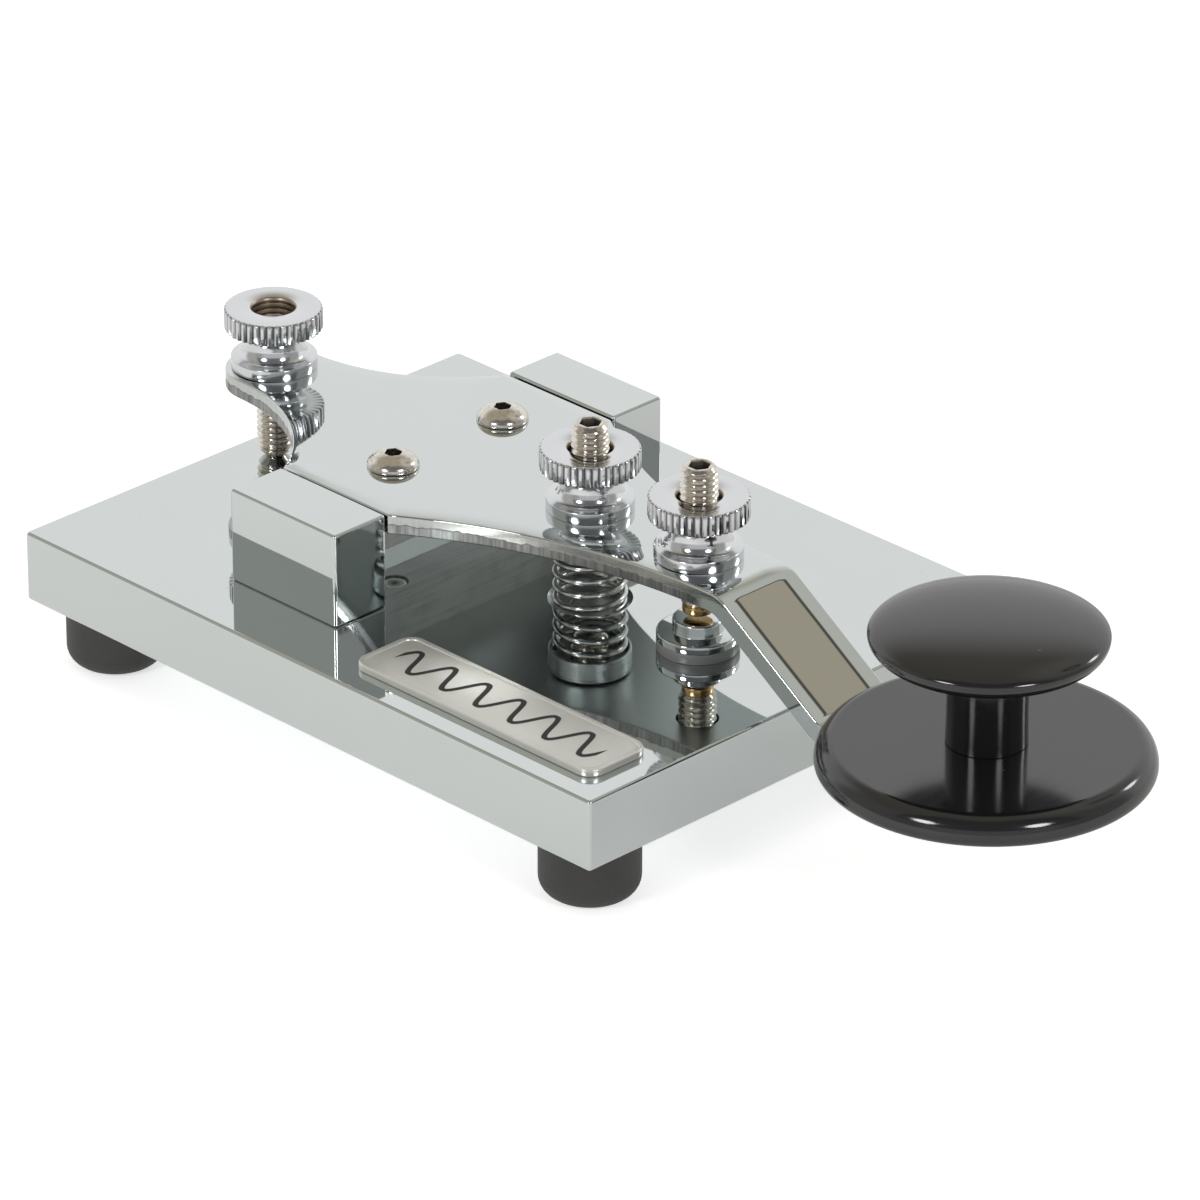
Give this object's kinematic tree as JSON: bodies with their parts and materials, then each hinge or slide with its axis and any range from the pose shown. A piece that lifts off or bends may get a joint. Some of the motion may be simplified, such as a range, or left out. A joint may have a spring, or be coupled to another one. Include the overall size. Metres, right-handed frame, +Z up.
{
  "type": "morse key",
  "caption": "Straight hand key: chromed lever on a crosswise pivot bar, with rear stop, spring and front contact screws, a flat two-disc knob and a heavy base on rubber feet.",
  "frame": {"origin": "bottom centre of the bounding box, on the plane that the four feet stand on", "axes": "+X from the rear stop towards the knob, +Z up, +Y to the right of an operator who faces -X"},
  "size_m": [0.1518, 0.0762, 0.0429],
  "materials": {
    "chrome_base": "polished chrome plate over steel",
    "chrome": "polished chrome plate",
    "rubber": "matt black moulded rubber",
    "plated_steel": "bright zinc plate",
    "milled_steel": "satin milled steel",
    "stainless": "bright stainless steel",
    "bronze": "turned bronze",
    "spring_steel": "bright music wire",
    "contact_metal": "gold-coloured contact metal",
    "insulation": "black hard fibre",
    "tinned": "tinned",
    "plate_metal": "satin with a filled black line",
    "knob_black": "high-gloss black moulding"
  },
  "bodies": {
    "base": {"base_plate": "chrome_base", "foot_rear_left": "rubber", "foot_screw_rear_left": "plated_steel", "foot_front_left": "rubber", "foot_screw_front_left": "plated_steel", "foot_rear_right": "rubber", "foot_screw_rear_right": "plated_steel", "foot_front_right": "rubber", "foot_screw_front_right": "plated_steel", "pivot_block_left": "chrome", "pivot_block_right": "chrome", "pivot_bush_left": "bronze", "pivot_bush_right": "bronze", "block_screw_left_rear": "plated_steel", "block_screw_left_front": "plated_steel", "block_screw_right_rear": "plated_steel", "block_screw_right_front": "plated_steel", "tension_spring": "spring_steel", "insulating_washer": "insulation", "shoulder_washer": "insulation", "contact_post": "chrome", "contact_lug": "tinned", "contact_lock_nut": "plated_steel", "ground_lug": "tinned", "ground_screw": "plated_steel", "name_plate": "plate_metal"},
    "lever": {"lever": "chrome", "pivot_bar": "milled_steel", "pivot_pin_left": "plated_steel", "pivot_pin_right": "plated_steel", "lever_screw_left": "stainless", "lever_screw_right": "stainless", "knob_skirt": "knob_black", "knob": "knob_black", "knob_insert": "bronze", "knob_screw": "stainless"},
    "stop_adjuster": {"stop_tip": "stainless"},
    "stop_thread": {"stop_screw": "stainless"},
    "stop_lock": {"stop_nut": "chrome"},
    "tension_adjuster": {"spring_cup": "chrome"},
    "tension_thread": {"tension_screw": "stainless"},
    "tension_lock": {"tension_nut": "chrome"},
    "contact_adjuster": {"contact_tip": "contact_metal"},
    "contact_thread": {"contact_screw": "stainless"},
    "contact_lock": {"contact_nut": "chrome"}
  },
  "joints": [
    {"name": "key_pivot", "type": "hinge", "parent": "base", "child": "lever", "pos_m": [-0.03735, 0, 0.02475], "axis": [0, 1, 0], "range_deg": [0, 0.9], "stiffness_Nm_per_rad": 2.6, "springref_deg": -4.58, "deforming": ["tension_spring"]},
    {"name": "stop_travel", "type": "slide", "parent": "lever", "child": "stop_adjuster", "axis": [0, 0, 1], "range_m": [0, 0.001]},
    {"name": "stop_turn", "type": "hinge", "parent": "stop_adjuster", "child": "stop_thread", "pos_m": [-0.06955, 0, 0.03072], "axis": [0, 0, 1], "range_deg": [0, 454]},
    {"name": "stop_nut_turn", "type": "hinge", "parent": "lever", "child": "stop_lock", "pos_m": [-0.06955, 0, 0.03072], "axis": [0, 0, 1], "range_deg": [0, 90]},
    {"name": "tension_travel", "type": "slide", "parent": "lever", "child": "tension_adjuster", "axis": [0, 0, 1], "range_m": [-0.0009, 0]},
    {"name": "tension_turn", "type": "hinge", "parent": "tension_adjuster", "child": "tension_thread", "pos_m": [-0.01195, 0, 0.03072], "axis": [0, 0, 1], "range_deg": [-409, 0]},
    {"name": "tension_nut_turn", "type": "hinge", "parent": "lever", "child": "tension_lock", "pos_m": [-0.01195, 0, 0.03072], "axis": [0, 0, 1], "range_deg": [0, 90]},
    {"name": "contact_travel", "type": "slide", "parent": "lever", "child": "contact_adjuster", "axis": [0, 0, 1], "range_m": [0, 0.001]},
    {"name": "contact_turn", "type": "hinge", "parent": "contact_adjuster", "child": "contact_thread", "pos_m": [0.00695, 0, 0.03072], "axis": [0, 0, 1], "range_deg": [0, 454]},
    {"name": "contact_nut_turn", "type": "hinge", "parent": "lever", "child": "contact_lock", "pos_m": [0.00695, 0, 0.03072], "axis": [0, 0, 1], "range_deg": [0, 90]}
  ],
  "couplings": [
    {"joint": "stop_turn", "follows": "stop_travel", "rad_per_m": 7915.8},
    {"joint": "tension_turn", "follows": "tension_travel", "rad_per_m": 7915.8},
    {"joint": "contact_turn", "follows": "contact_travel", "rad_per_m": 7915.8}
  ]
}
